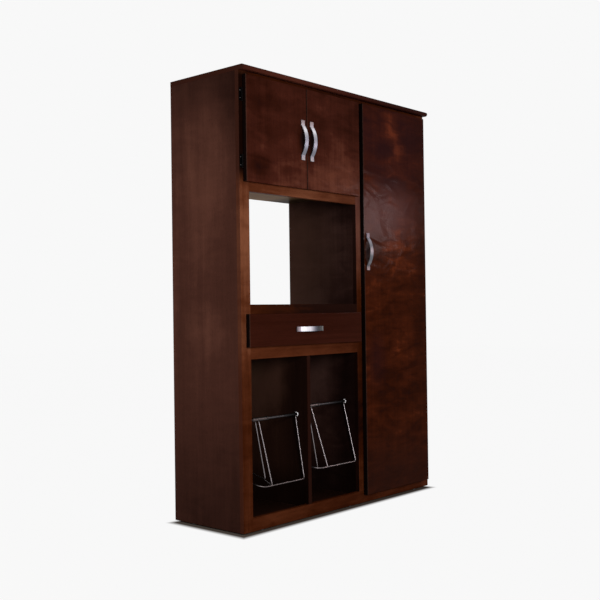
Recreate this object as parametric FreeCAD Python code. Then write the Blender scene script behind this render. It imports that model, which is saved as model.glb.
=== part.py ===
import FreeCAD, Part
import math
import os

# A tall pantry and microwave cabinet with a face frame, drawn from its front left bottom corner:
# X runs to the right, Y from the face of the frame to the back, Z up from the floor.
# All lengths are millimetres and all angles degrees.

# Overall sizes
width = 1250.0
depth = 395.0
height = 1800.0
board = 19.0
back_panel_thickness = 4.0
glide_height = 5.0

# Face frame
frame_thickness = 19.0
member_width = 52.0
bottom_rail_height = 51.0
centre_stile_left = 716.0
upper_frame_height = 464.0
niche_floor_top = 880.0
drawer_opening_height = 108.0

# Boards behind the frame
niche_ceiling_step = 38.0
bottom_board_drop = 12.0
divider_offset = 4.5
top_overhang = 28.0
nosing_flat = 0.8

# Doors and drawer front
door_thickness = 18.0
door_reveal = 20.0
upper_door_lap = 16.0
door_top_gap = 15.0
upper_door_lap_right = 9.0
meeting_offset = 2.0
meeting_gap = 2.5
tall_door_lap_left = 21.0
tall_door_lap = 17.0
edge_rounding = 2.0
drawer_front_lap_left = 26.0
drawer_front_lap_right = 8.0
drawer_front_lap_below = 5.0
drawer_front_lap_above = 15.0
drawer_front_gap = 1.5

# Butt hinges: one leaf on the face of the frame, the other behind the door
hinge_height = 50.0
frame_leaf_width = 10.0
door_leaf_width = 28.0
hinge_leaf_thickness = 1.2
hinge_leaf_gap = 0.3
hinge_end_distance = 78.0
knuckle_radius = 3.2
knuckle_share = 1 / 3
knuckle_gap = 0.3
hinge_plate_gap = 0.4
knuckle_edge_gap = 1.0
knuckle_face_gap = 0.4
hinge_pin_radius = 1.5
hinge_pin_fit = 0.05
hinge_pin_head = 1.5

# Bow handles
handle_length = 164.0
handle_width = 20.0
handle_strap = 3.5
handle_rise = 22.0
handle_foot_length = 20.0
handle_foot_thickness = 5.0
handle_edge_distance = 27.5
upper_handle_drop = 8.5
tall_handle_from_stile = 6.5
tall_handle_middle = 1111.0
handle_screw_radius = 2.0
handle_screw_reach = 3.5
screw_head_radius = 4.0
screw_head_height = 2.0
screw_fit = 0.1
screw_clearance = 0.3

# Magnetic catches and their strikes
catch_length = 40.0
catch_height = 14.0
catch_depth = 34.0
catch_edge_distance = 10.0
catch_above_shelf = 4.0
strike_thickness = 1.2
strike_margin = 3.0

# Shelves and their pins
shelf_clearance = 1.0
shelf_setback = 18.0
tall_shelf_count = 4
shelf_pin_radius = 2.5
shelf_pin_depth = 8.0
shelf_pin_reach = 8.0
shelf_pin_fit = 0.1
shelf_pin_inset = 40.0

# Drawer box and its runners
runner_space = 13.0
runner_height = 35.0
runner_wall = 1.5
runner_back_space = 49.0
runner_setback = 2.0
channel_depth = 9.0
runner_fit = 0.4
packer_height = 60.0
drawer_side = 12.0
drawer_top_space = 8.0
drawer_lift = 8.0
drawer_back_space = 42.5
drawer_bottom_thickness = 5.0
drawer_bottom_rise = 10.0
drawer_groove = 6.0
drawer_groove_fit = 0.1

# Swinging wire racks. Both are as wide as the right bay allows, and hang near their right wall
rod_radius = 5.0
rod_fit = 0.08
rod_end_gap = 0.5
socket_radius = 9.0
socket_thickness = 4.0
socket_fit = 0.05
wire_radius = 2.5
leg_length = 266.0
collar_radius = 7.5
collar_length = 10.0
collar_gap = 0.5
ring_radius = 9.5
ring_length = 4.0
side_space = 49.0
sleeve_from_side = 4.0
sleeve_length = 83.0
first_leg_top_from_side = 39.0
first_leg_foot_from_side = 67.0
second_leg_top_from_side = 20.0
second_leg_foot_from_side = 60.0
loop_drop = 175.0
loop_front_radius = 42.0
loop_rear_radius = 22.0
wire_bend_radius = 8.0
link_distance = 14.0
weld_step = 1.0
left_rod_back = 61.0
left_rod_height = 424.0
left_foot_back = 26.0
left_foot_drop = 240.0
left_loop_depth = 174.0
right_rod_back = 77.0
right_rod_height = 449.0
right_foot_back = 50.0
right_foot_drop = 266.0
right_loop_depth = 230.0

# Glides under the bottom rail and the three upright panels
glide_radius = 9.0
glide_inset = 108.0
middle_glide = 656.0
rear_glide_depth = 288.0

# Every cut runs past the faces by this much
overrun = 1.0

# Places that follow from the sizes above
carcass_top = height - board
door_gap = hinge_leaf_thickness + hinge_leaf_gap
door_face = -(door_gap + door_thickness)
drawer_face = -(drawer_front_gap + door_thickness)
panel_back = depth - back_panel_thickness
inner_left = board
inner_right = width - board
partition_right = centre_stile_left + board
centre_stile_right = centre_stile_left + member_width
right_stile_left = width - member_width
bottom_rail_top = glide_height + bottom_rail_height
bay_floor_top = bottom_rail_top - bottom_board_drop
niche_rail_bottom = niche_floor_top - member_width
bay_head_top = niche_rail_bottom - drawer_opening_height
bay_head_bottom = bay_head_top - member_width
upper_rail_bottom = carcass_top - upper_frame_height
upper_rail_top = upper_rail_bottom + member_width
niche_ceiling_bottom = upper_rail_bottom + niche_ceiling_step
niche_ceiling_top = niche_ceiling_bottom + board
top_rail_bottom = carcass_top - member_width
upper_door_bottom = upper_rail_top - upper_door_lap
door_top = carcass_top - door_top_gap
tall_door_bottom = bottom_rail_top - tall_door_lap
drawer_front_bottom = bay_head_top - drawer_front_lap_below
drawer_front_top = niche_rail_bottom + drawer_front_lap_above
upper_handle_middle = (upper_door_bottom + door_top) / 2 - upper_handle_drop
tall_door_left = centre_stile_right - tall_door_lap_left
tall_door_right = width - door_reveal
upper_door_right = centre_stile_left + upper_door_lap_right
upper_door_meeting = (door_reveal + upper_door_right) / 2 + meeting_offset
drawer_front_left = member_width - drawer_front_lap_left
drawer_front_right = centre_stile_left + drawer_front_lap_right
left_meeting_edge = upper_door_meeting - meeting_gap / 2
right_meeting_edge = upper_door_meeting + meeting_gap / 2
divider_left = (member_width + centre_stile_left - board) / 2 + divider_offset
divider_right = divider_left + board
upper_shelf_top = (niche_ceiling_top + carcass_top + board) / 2
tall_shelf_pitch = (carcass_top - bay_floor_top + board) / (tall_shelf_count + 1)
tall_shelf_tops = [bay_floor_top + tall_shelf_pitch * n for n in range(1, tall_shelf_count + 1)]

# The part's own origin: on the floor, below the middle of its outline
origin_x = width / 2
origin_y = (depth + door_face - handle_rise - handle_strap) / 2


def box(x0, y0, z0, x1, y1, z1):
    return Part.makeBox(x1 - x0, y1 - y0, z1 - z0, FreeCAD.Vector(x0, y0, z0))


def cylinder(radius, start, end):
    start = FreeCAD.Vector(*start)
    run = FreeCAD.Vector(*end) - start
    return Part.makeCylinder(radius, run.Length, start, run)


def join(shapes):
    return shapes[0].fuse(shapes[1:]).removeSplitter()


def export(name, shape):
    placed = shape.copy()
    placed.translate(FreeCAD.Vector(-origin_x, -origin_y, 0))
    placed.exportStep("parts/" + name + ".step")


# Shelf pins: four to a shelf, pressed into holes in the walls at each end of it
def shelf_pin_rows(shelf_top):
    front = frame_thickness + shelf_setback + shelf_pin_inset
    back = panel_back - shelf_clearance - shelf_pin_inset
    return [(y, shelf_top - board - shelf_pin_radius) for y in (front, back)]


def pins_at_wall(wall_x, inward, shelf_top):
    return [
        cylinder(shelf_pin_radius, (wall_x - inward * shelf_pin_depth, y, z),
                 (wall_x + inward * shelf_pin_reach, y, z))
        for y, z in shelf_pin_rows(shelf_top)
    ]


def pin_holes(panel, wall_x, inward, shelf_tops):
    for shelf_top in shelf_tops:
        for y, z in shelf_pin_rows(shelf_top):
            panel = panel.cut(cylinder(shelf_pin_radius + shelf_pin_fit,
                                       (wall_x - inward * (shelf_pin_depth + shelf_pin_fit), y, z),
                                       (wall_x + inward * overrun, y, z)))
    return panel


# Upright panels
def left_side_panel():
    panel = box(0, frame_thickness, glide_height, board, depth, carcass_top)
    return pin_holes(panel, inner_left, 1, [upper_shelf_top])


def right_side_panel():
    panel = box(inner_right, frame_thickness, glide_height, width, depth, carcass_top)
    return pin_holes(panel, inner_right, -1, tall_shelf_tops)


def centre_partition():
    panel = box(centre_stile_left, frame_thickness, glide_height, partition_right, depth, carcass_top)
    panel = pin_holes(panel, centre_stile_left, -1, [upper_shelf_top])
    return pin_holes(panel, partition_right, 1, tall_shelf_tops)


# The divider between the bays stands on their floor, and its front edge is flush with the frame
def bay_divider():
    panel = box(divider_left, frame_thickness, bay_floor_top,
                divider_right, panel_back, bay_head_top - board)
    front = box(divider_left, 0, bottom_rail_top, divider_right, frame_thickness, bay_head_bottom)
    return join([panel, front])


# The top board lies over everything, and its front edge is rounded like a nose
def top_board():
    slab = box(0, -top_overhang, carcass_top, width, depth, height)
    front_edges = [
        edge for edge in slab.Edges
        if abs(edge.CenterOfMass.y + top_overhang) < overrun and edge.Length > depth
    ]
    return slab.makeFillet((board - nosing_flat) / 2, front_edges)


# Flat boards: each is a box between the panels
def flat_boards():
    return {
        "left_bottom_board": box(inner_left, frame_thickness, bay_floor_top - board,
                                 centre_stile_left, panel_back, bay_floor_top),
        "right_bottom_board": box(partition_right, frame_thickness, bay_floor_top - board,
                                  inner_right, panel_back, bay_floor_top),
        "bay_ceiling_board": box(inner_left, frame_thickness, bay_head_top - board,
                                 centre_stile_left, panel_back, bay_head_top),
        "niche_floor_board": box(inner_left, frame_thickness, niche_floor_top - board,
                                 centre_stile_left, depth, niche_floor_top),
        "niche_ceiling_board": box(inner_left, frame_thickness, niche_ceiling_bottom,
                                   centre_stile_left, depth, niche_ceiling_top),
        "upper_back_panel": box(inner_left, panel_back, niche_ceiling_top,
                                centre_stile_left, depth, carcass_top),
        "bay_back_panel": box(inner_left, panel_back, bay_floor_top - board,
                              centre_stile_left, depth, niche_floor_top - board),
        "tall_back_panel": box(partition_right, panel_back, bay_floor_top - board,
                               inner_right, depth, carcass_top),
    }


# Face frame: solid stiles and rails, butted and glued to the front of the boards
def face_frame():
    left = member_width
    right = right_stile_left
    middle = centre_stile_left
    return {
        "left_stile": box(0, 0, glide_height, left, frame_thickness, carcass_top),
        "right_stile": box(right, 0, glide_height, width, frame_thickness, carcass_top),
        "centre_stile": box(middle, 0, bottom_rail_top, centre_stile_right, frame_thickness,
                            top_rail_bottom),
        "top_rail": box(left, 0, top_rail_bottom, right, frame_thickness, carcass_top),
        "bottom_rail": box(left, 0, glide_height, right, frame_thickness, bottom_rail_top),
        "upper_door_rail": box(left, 0, upper_rail_bottom, middle, frame_thickness, upper_rail_top),
        "niche_floor_rail": box(left, 0, niche_rail_bottom, middle, frame_thickness, niche_floor_top),
        "bay_head_rail": box(left, 0, bay_head_bottom, middle, frame_thickness, bay_head_top),
    }


# Shelves on pins, one in the upper cupboard and four behind the tall door
def shelf(wall_left, wall_right, shelf_top):
    return box(wall_left + shelf_clearance, frame_thickness + shelf_setback, shelf_top - board,
               wall_right - shelf_clearance, panel_back - shelf_clearance, shelf_top)


def shelf_pins():
    pins = pins_at_wall(inner_left, 1, upper_shelf_top)
    pins += pins_at_wall(centre_stile_left, -1, upper_shelf_top)
    for shelf_top in tall_shelf_tops:
        pins += pins_at_wall(partition_right, 1, shelf_top)
        pins += pins_at_wall(inner_right, -1, shelf_top)
    return Part.makeCompound(pins)


# Low round glides that the cabinet stands on
def glides():
    under_rail = frame_thickness / 2
    places = [(x, under_rail) for x in (glide_inset, middle_glide, width - glide_inset)]
    upright_middles = (board / 2, centre_stile_left + board / 2, width - board / 2)
    places += [(x, rear_glide_depth) for x in upright_middles]
    return Part.makeCompound([cylinder(glide_radius, (x, y, 0), (x, y, glide_height)) for x, y in places])


# Bow handles: a flat strap bent to an arch between two feet, standing up along Z before it is placed
def handle_blank():
    half = handle_length / 2
    shoulder = half - handle_foot_length

    def point(z, out):
        return FreeCAD.Vector(-handle_width / 2, -out, z)

    outline = [
        Part.LineSegment(point(-half, 0), point(-half, handle_foot_thickness)),
        Part.LineSegment(point(-half, handle_foot_thickness), point(-shoulder, handle_foot_thickness)),
        Part.Arc(point(-shoulder, handle_foot_thickness), point(0, handle_rise + handle_strap),
                 point(shoulder, handle_foot_thickness)),
        Part.LineSegment(point(shoulder, handle_foot_thickness), point(half, handle_foot_thickness)),
        Part.LineSegment(point(half, handle_foot_thickness), point(half, 0)),
        Part.LineSegment(point(half, 0), point(shoulder, 0)),
        Part.Arc(point(shoulder, 0), point(0, handle_rise), point(-shoulder, 0)),
        Part.LineSegment(point(-shoulder, 0), point(-half, 0)),
    ]
    profile = Part.Face(Part.Wire([curve.toShape() for curve in outline]))
    blank = profile.extrude(FreeCAD.Vector(handle_width, 0, 0))
    for z in handle_screw_places():
        blank = blank.cut(cylinder(handle_screw_radius + screw_fit, (0, overrun, z),
                                   (0, -handle_screw_reach - screw_fit, z)))
    return blank


def handle_screw_places():
    place = (handle_length - handle_foot_length) / 2
    return (-place, place)


def handle(x, face, z, lying=False):
    blank = handle_blank()
    if lying:
        blank.rotate(FreeCAD.Vector(0, 0, 0), FreeCAD.Vector(0, 1, 0), 90)
    blank.translate(FreeCAD.Vector(x, face, z))
    return blank


def screw_centres(x, z, lying=False):
    if lying:
        return [(x + place, z) for place in handle_screw_places()]
    return [(x, z + place) for place in handle_screw_places()]


def handle_screws(centres, face):
    back = face + door_thickness
    screws = []
    for x, z in centres:
        shank = cylinder(handle_screw_radius, (x, back, z), (x, face - handle_screw_reach, z))
        head = cylinder(screw_head_radius, (x, back, z), (x, back + screw_head_height, z))
        screws.append(join([shank, head]))
    return Part.makeCompound(screws)


# Slab fronts, rounded round the face and bored for the handle's screws
def slab_front(left, right, bottom, top, face, centres):
    slab = box(left, face, bottom, right, face + door_thickness, top)
    face_edges = [edge for edge in slab.Edges if abs(edge.BoundBox.YMax - face) < edge_rounding / 2]
    slab = slab.makeFillet(edge_rounding, face_edges)
    for x, z in centres:
        slab = slab.cut(cylinder(handle_screw_radius + screw_clearance, (x, face - overrun, z),
                                 (x, face + door_thickness + overrun, z)))
    return slab


# Hinges. The barrel stands just clear of the door's outer edge; inward is the way to the door's middle
def pivot(door_edge, inward):
    return (door_edge - inward * (knuckle_radius + knuckle_edge_gap), -(knuckle_radius + knuckle_face_gap))


def knuckle_span(middle, share_from, share_to):
    bottom = middle - hinge_height / 2
    return (bottom + hinge_height * share_from, bottom + hinge_height * share_to)


def hinge_leaf(place, plate_way, plate_width, middle, spans, back, front):
    x, y = place
    plate_start = x + plate_way * (knuckle_radius + hinge_plate_gap)
    plate_end = plate_start + plate_way * plate_width
    pieces = [box(min(plate_start, plate_end), front, middle - hinge_height / 2,
                  max(plate_start, plate_end), back, middle + hinge_height / 2)]
    for low, high in spans:
        pieces.append(box(min(x, plate_start), front, low, max(x, plate_start), back, high))
        pieces.append(cylinder(knuckle_radius, (x, y, low), (x, y, high)))
    leaf = join(pieces)
    return leaf.cut(cylinder(hinge_pin_radius + hinge_pin_fit, (x, y, middle - hinge_height),
                             (x, y, middle + hinge_height)))


def frame_leaf(door_edge, inward, middle):
    spans = (knuckle_span(middle, 0, knuckle_share), knuckle_span(middle, 1 - knuckle_share, 1))
    return hinge_leaf(pivot(door_edge, inward), -inward, frame_leaf_width, middle, spans,
                      0, -hinge_leaf_thickness)


def door_leaf(door_edge, inward, middle):
    low, high = knuckle_span(middle, knuckle_share, 1 - knuckle_share)
    spans = [(low + knuckle_gap, high - knuckle_gap)]
    return hinge_leaf(pivot(door_edge, inward), inward, door_leaf_width, middle, spans,
                      hinge_leaf_thickness - door_gap, -door_gap)


def hinge_pin(door_edge, inward, middle):
    x, y = pivot(door_edge, inward)
    top = middle + hinge_height / 2
    shank = cylinder(hinge_pin_radius, (x, y, middle - hinge_height / 2), (x, y, top))
    head = cylinder(knuckle_radius, (x, y, top), (x, y, top + hinge_pin_head))
    return join([shank, head])


def hinge_middles(bottom, count):
    first = bottom + hinge_end_distance
    last = door_top - hinge_end_distance
    return [first + (last - first) * n / (count - 1) for n in range(count)]


def doors():
    return (
        # name, left, right, bottom, hinge edge, way to the middle, hinges, handle's x and z
        ("upper_left", door_reveal, left_meeting_edge, upper_door_bottom, door_reveal, 1, 2,
         upper_door_meeting - handle_edge_distance, upper_handle_middle),
        ("upper_right", right_meeting_edge, upper_door_right, upper_door_bottom, upper_door_right, -1, 2,
         upper_door_meeting + handle_edge_distance, upper_handle_middle),
        ("tall", tall_door_left, tall_door_right, tall_door_bottom, tall_door_right, -1, 3,
         centre_stile_right + tall_handle_from_stile, tall_handle_middle),
    )


# Magnetic catches: blocks behind the frame's edge, each met by a steel strike on the door's back
def catch_boxes():
    low = top_rail_bottom - catch_height
    left = upper_door_meeting - catch_edge_distance
    right = upper_door_meeting + catch_edge_distance
    tall_low = tall_shelf_tops[tall_shelf_count // 2] + catch_above_shelf
    return {
        "upper_left": (left - catch_length, low, left, top_rail_bottom),
        "upper_right": (right, low, right + catch_length, top_rail_bottom),
        "tall": (centre_stile_right, tall_low,
                 centre_stile_right + catch_height, tall_low + catch_length),
    }


def door_catches():
    return Part.makeCompound([
        box(x0, 0, z0, x1, catch_depth, z1)
        for x0, z0, x1, z1 in catch_boxes().values()
    ])


def strike(name):
    x0, z0, x1, z1 = catch_boxes()[name]
    return box(x0 + strike_margin, -door_gap, z0 + strike_margin,
               x1 - strike_margin, -door_gap + strike_thickness, z1 - strike_margin)


def export_doors():
    for name, left, right, bottom, edge, inward, hinges, handle_x, handle_z in doors():
        centres = screw_centres(handle_x, handle_z)
        leaves = [door_leaf(edge, inward, middle) for middle in hinge_middles(bottom, hinges)]
        export(name + "_door", slab_front(left, right, bottom, door_top, door_face, centres))
        export(name + "_door_handle", handle(handle_x, door_face, handle_z))
        export(name + "_door_handle_screws", handle_screws(centres, door_face))
        export(name + "_door_hinge_leaves", Part.makeCompound(leaves))
        export(name + "_door_strike", strike(name))


def export_hinge_fixed_pieces():
    leaves = []
    pins = []
    for name, left, right, bottom, edge, inward, hinges, handle_x, handle_z in doors():
        for middle in hinge_middles(bottom, hinges):
            leaves.append(frame_leaf(edge, inward, middle))
            pins.append(hinge_pin(edge, inward, middle))
    export("hinge_frame_leaves", Part.makeCompound(leaves))
    export("hinge_pins", Part.makeCompound(pins))


# Drawer: a box of thin boards screwed to the back of its front, on a pair of channel runners
drawer_bottom_edge = bay_head_top + drawer_lift
drawer_top_edge = niche_rail_bottom - drawer_top_space
drawer_box_left = member_width + runner_space
drawer_box_right = centre_stile_left - runner_space
drawer_box_front = -drawer_front_gap
drawer_box_back = panel_back - drawer_back_space
drawer_floor = drawer_bottom_edge + drawer_bottom_rise
runner_middle = (drawer_bottom_edge + drawer_top_edge) / 2
runner_back = panel_back - runner_back_space


def drawer_wall(outer, inward):
    inner = outer + inward * drawer_side
    groove = inner - inward * drawer_groove
    wall = box(min(outer, inner), drawer_box_front, drawer_bottom_edge,
               max(outer, inner), drawer_box_back, drawer_top_edge)
    slot_end = inner + inward * overrun
    slot = box(min(groove, slot_end), drawer_box_front - overrun, drawer_floor - drawer_groove_fit,
               max(groove, slot_end), drawer_box_back + overrun,
               drawer_floor + drawer_bottom_thickness + drawer_groove_fit)
    return wall.cut(slot)


def drawer_back():
    return box(drawer_box_left + drawer_side, drawer_box_back - drawer_side,
               drawer_floor + drawer_bottom_thickness,
               drawer_box_right - drawer_side, drawer_box_back, drawer_top_edge)


def drawer_bottom():
    edge = drawer_side - drawer_groove + drawer_groove_fit
    return box(drawer_box_left + edge, drawer_box_front, drawer_floor,
               drawer_box_right - edge, drawer_box_back, drawer_floor + drawer_bottom_thickness)


# A runner is a channel: a web on its wall and two flanges towards the other runner
def channel(wall_x, inward, reach, tall):
    web_end = wall_x + inward * runner_wall
    flange_end = wall_x + inward * reach
    low = runner_middle - tall / 2
    high = runner_middle + tall / 2
    left = min(wall_x, flange_end)
    right = max(wall_x, flange_end)
    return join([
        box(min(wall_x, web_end), runner_setback, low, max(wall_x, web_end), runner_back, high),
        box(left, runner_setback, low, right, runner_back, low + runner_wall),
        box(left, runner_setback, high - runner_wall, right, runner_back, high),
    ])


def runner_channels():
    return Part.makeCompound([
        channel(member_width, 1, channel_depth, runner_height),
        channel(centre_stile_left, -1, channel_depth, runner_height),
    ])


def drawer_runners():
    tall = runner_height - 2 * (runner_wall + runner_fit)
    reach = runner_space - runner_wall - runner_fit
    return Part.makeCompound([
        channel(drawer_box_left, -1, reach, tall),
        channel(drawer_box_right, 1, reach, tall),
    ])


def runner_packer():
    return box(inner_left, frame_thickness, runner_middle - packer_height / 2,
               member_width, runner_back, runner_middle + packer_height / 2)


def export_drawer():
    middle_x = (drawer_front_left + drawer_front_right) / 2
    middle_z = (drawer_front_bottom + drawer_front_top) / 2
    centres = screw_centres(middle_x, middle_z, lying=True)
    export("drawer_front", slab_front(drawer_front_left, drawer_front_right, drawer_front_bottom,
                                      drawer_front_top, drawer_face, centres))
    export("drawer_handle", handle(middle_x, drawer_face, middle_z, lying=True))
    export("drawer_handle_screws", handle_screws(centres, drawer_face))
    export("drawer_left_side", drawer_wall(drawer_box_left, 1))
    export("drawer_right_side", drawer_wall(drawer_box_right, -1))
    export("drawer_back", drawer_back())
    export("drawer_bottom", drawer_bottom())
    export("drawer_runners", drawer_runners())
    export("runner_channels", runner_channels())
    export("runner_packer", runner_packer())


# Bent wire: straight runs joined by arcs, one radius for each inner point
def wire_tube(points, radii):
    points = [FreeCAD.Vector(*point) for point in points]
    edges = []
    start = points[0]
    for n, radius in enumerate(radii, 1):
        corner = points[n]
        back = (points[n - 1] - corner).normalize()
        ahead = (points[n + 1] - corner).normalize()
        half_angle = back.getAngle(ahead) / 2
        cut_off = radius / math.tan(half_angle)
        bisector = (back + ahead).normalize()
        middle = corner + bisector * (radius / math.sin(half_angle) - radius)
        arc_start = corner + back * cut_off
        arc_end = corner + ahead * cut_off
        edges.append(Part.LineSegment(start, arc_start).toShape())
        edges.append(Part.Arc(arc_start, middle, arc_end).toShape())
        start = arc_end
    edges.append(Part.LineSegment(start, points[-1]).toShape())
    path = Part.Wire(edges)
    section = Part.Wire(Part.makeCircle(wire_radius, points[0], points[1] - points[0]))
    return path.makePipeShell([section], True, False)


# A swinging rack of welded wire. It is drawn straight below its rod, then turned about the rod
# until its centre of mass is below it, as it hangs
def rack_blank(wall, foot_back, foot_drop, loop_depth):
    socket_face = wall - socket_thickness
    collar_x = socket_face - collar_gap - collar_length / 2
    side_x = wall - (centre_stile_left - divider_right - side_space)
    foot_x = side_x + second_leg_foot_from_side
    foot = (foot_x, foot_back, -foot_drop)
    frame_wire = wire_tube(
        [(side_x + second_leg_top_from_side, 0, 0), foot, (foot_x, loop_depth, -loop_drop),
         (side_x, loop_depth, -loop_drop), (side_x, 0, -leg_length), (collar_x, 0, -leg_length),
         (collar_x, 0, 0)],
        [wire_bend_radius, loop_rear_radius, loop_rear_radius, loop_front_radius, wire_bend_radius])
    first_foot_x = side_x + first_leg_foot_from_side
    first_leg = cylinder(wire_radius, (side_x + first_leg_top_from_side, 0, 0),
                         (first_foot_x, -weld_step, -leg_length - weld_step))
    rising = (foot_drop - loop_drop) / (loop_depth - foot_back)
    link = cylinder(wire_radius,
                    (foot_x, foot_back + link_distance, link_distance * rising - foot_drop - weld_step),
                    (first_foot_x, 0, -leg_length - weld_step))
    sleeve_start = side_x + sleeve_from_side
    sleeve_end = sleeve_start + sleeve_length
    sleeve = cylinder(collar_radius, (sleeve_start, 0, 0), (sleeve_end, 0, 0))
    ring = cylinder(ring_radius, (sleeve_end - ring_length, 0, 0), (sleeve_end, 0, 0))
    collar = cylinder(collar_radius, (collar_x - collar_length / 2, 0, 0),
                      (collar_x + collar_length / 2, 0, 0))
    bore = cylinder(rod_radius + rod_fit, (sleeve_start - overrun, 0, 0), (wall, 0, 0))
    return join([frame_wire, first_leg, link, sleeve, ring, collar]).cut(bore)


def rack(wall, rod_back, rod_height, foot_back, foot_drop, loop_depth):
    shape = rack_blank(wall, foot_back, foot_drop, loop_depth)
    centre = shape.Solids[0].CenterOfMass
    lean = math.degrees(math.atan2(centre.y, -centre.z))
    shape.rotate(FreeCAD.Vector(0, 0, 0), FreeCAD.Vector(1, 0, 0), -lean)
    shape.translate(FreeCAD.Vector(0, rod_back, rod_height))
    return shape, lean


def rack_rod(wall_left, wall_right, y, z):
    return cylinder(rod_radius, (wall_left + rod_end_gap, y, z), (wall_right - rod_end_gap, y, z))


def rod_socket(wall, inward, y, z):
    flange = cylinder(socket_radius, (wall, y, z), (wall + inward * socket_thickness, y, z))
    return flange.cut(cylinder(rod_radius + socket_fit, (wall - inward * overrun, y, z),
                               (wall + inward * (socket_thickness + overrun), y, z)))


def export_racks():
    bays = (
        ("left_rack", inner_left, divider_left, left_rod_back, left_rod_height,
         left_foot_back, left_foot_drop, left_loop_depth),
        ("right_rack", divider_right, centre_stile_left, right_rod_back, right_rod_height,
         right_foot_back, right_foot_drop, right_loop_depth),
    )
    rods = []
    sockets = []
    for name, wall_left, wall_right, rod_back, rod_height, foot_back, foot_drop, loop_depth in bays:
        shape, lean = rack(wall_right, rod_back, rod_height, foot_back, foot_drop, loop_depth)
        print(name, "hangs", round(lean, 2), "degrees forward; solids", len(shape.Solids))
        export(name, shape)
        rods.append(rack_rod(wall_left, wall_right, rod_back, rod_height))
        sockets.append(rod_socket(wall_left, 1, rod_back, rod_height))
        sockets.append(rod_socket(wall_right, -1, rod_back, rod_height))
    export("rack_rods", Part.makeCompound(rods))
    export("rod_sockets", Part.makeCompound(sockets))


def export_carcass():
    export("left_side_panel", left_side_panel())
    export("right_side_panel", right_side_panel())
    export("centre_partition", centre_partition())
    export("bay_divider", bay_divider())
    export("top_board", top_board())
    for name, shape in flat_boards().items():
        export(name, shape)
    for name, shape in face_frame().items():
        export(name, shape)
    export("upper_shelf", shelf(inner_left, centre_stile_left, upper_shelf_top))
    for number, shelf_top in enumerate(tall_shelf_tops, 1):
        export("tall_shelf_" + str(number), shelf(partition_right, inner_right, shelf_top))
    export("shelf_pins", shelf_pins())
    export("glides", glides())
    export("door_catches", door_catches())


os.makedirs("parts", exist_ok=True)
export_carcass()
export_hinge_fixed_pieces()
export_doors()
export_drawer()
export_racks()
print("origin", round(origin_x, 3), round(origin_y, 3))
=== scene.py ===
import math

import bmesh
import bpy
from mathutils import Matrix, Vector


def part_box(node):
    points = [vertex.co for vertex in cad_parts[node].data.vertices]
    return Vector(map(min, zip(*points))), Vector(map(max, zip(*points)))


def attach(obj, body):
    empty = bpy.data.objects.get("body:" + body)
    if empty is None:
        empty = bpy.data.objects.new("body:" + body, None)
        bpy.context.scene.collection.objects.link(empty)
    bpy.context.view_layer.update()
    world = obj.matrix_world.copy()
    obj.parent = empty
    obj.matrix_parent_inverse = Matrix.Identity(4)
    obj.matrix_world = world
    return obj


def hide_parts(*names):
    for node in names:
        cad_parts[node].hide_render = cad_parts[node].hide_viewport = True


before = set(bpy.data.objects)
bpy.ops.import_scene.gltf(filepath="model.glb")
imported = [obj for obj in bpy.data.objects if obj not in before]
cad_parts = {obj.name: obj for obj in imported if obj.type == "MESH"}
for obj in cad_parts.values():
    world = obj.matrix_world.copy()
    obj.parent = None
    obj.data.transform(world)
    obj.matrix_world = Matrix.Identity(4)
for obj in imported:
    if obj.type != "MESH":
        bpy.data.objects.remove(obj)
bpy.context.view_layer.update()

# Upright panels: the two sides and the partition between the columns. Each is a board faced with
# dark stained veneer, its grain standing upright, and sprayed with a satin lacquer.
# They are glued to the back of the face frame.


class Value:
    """A socket of a shader, so that maths on sockets reads as an expression."""

    def __init__(self, paint, socket):
        self.paint = paint
        self.socket = socket

    def maths(self, operation, first, second):
        settings = {"operation": operation}
        return self.paint.node("ShaderNodeMath", settings, {0: first, 1: second})["Value"]

    def __add__(self, other):
        return self.maths("ADD", self, other)

    def __sub__(self, other):
        return self.maths("SUBTRACT", self, other)

    def __rsub__(self, other):
        return self.maths("SUBTRACT", other, self)

    def __mul__(self, other):
        return self.maths("MULTIPLY", self, other)

    def __gt__(self, other):
        return self.maths("GREATER_THAN", self, other)

    def __lt__(self, other):
        return self.maths("LESS_THAN", self, other)

    __radd__ = __add__
    __rmul__ = __mul__


class Paint:
    """A material, or the studio's world, whose nodes are added one by one."""

    def __init__(self, owner):
        self.owner = owner
        owner.use_nodes = True
        self.tree = owner.node_tree
        self.tree.nodes.clear()

    def node(self, kind, settings=None, values=None):
        made = self.tree.nodes.new(kind)
        for key, value in (settings or {}).items():
            if key == "stops":
                ramp = made.color_ramp
                while len(ramp.elements) < len(value):
                    ramp.elements.new(1)
                for element, (place, colour) in zip(ramp.elements, value):
                    element.position = place
                    element.color = (*colour, 1)
            else:
                setattr(made, key, value)
        for key, value in (values or {}).items():
            if isinstance(key, int):
                socket = made.inputs[key]
            else:
                socket = next(s for s in made.inputs if s.enabled and s.name == key)
            if isinstance(value, Value):
                self.tree.links.new(value.socket, socket)
            elif socket.type == "RGBA":
                socket.default_value = (*value, 1)
            else:
                socket.default_value = value
        return {s.name: Value(self, s) for s in made.outputs if s.enabled}

    def finish(self, surface, output="ShaderNodeOutputMaterial"):
        self.node(output, None, {"Surface": surface})
        return self.owner


def new_paint(name):
    return Paint(bpy.data.materials.new(name))


def stain(red, green, blue):
    """A colour as it is read off a screen, from 0 to 255, made linear."""
    return tuple((c / 255 / 12.92) if c < 10.3 else ((c / 255 + 0.055) / 1.055) ** 2.4
                 for c in (red, green, blue))


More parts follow.
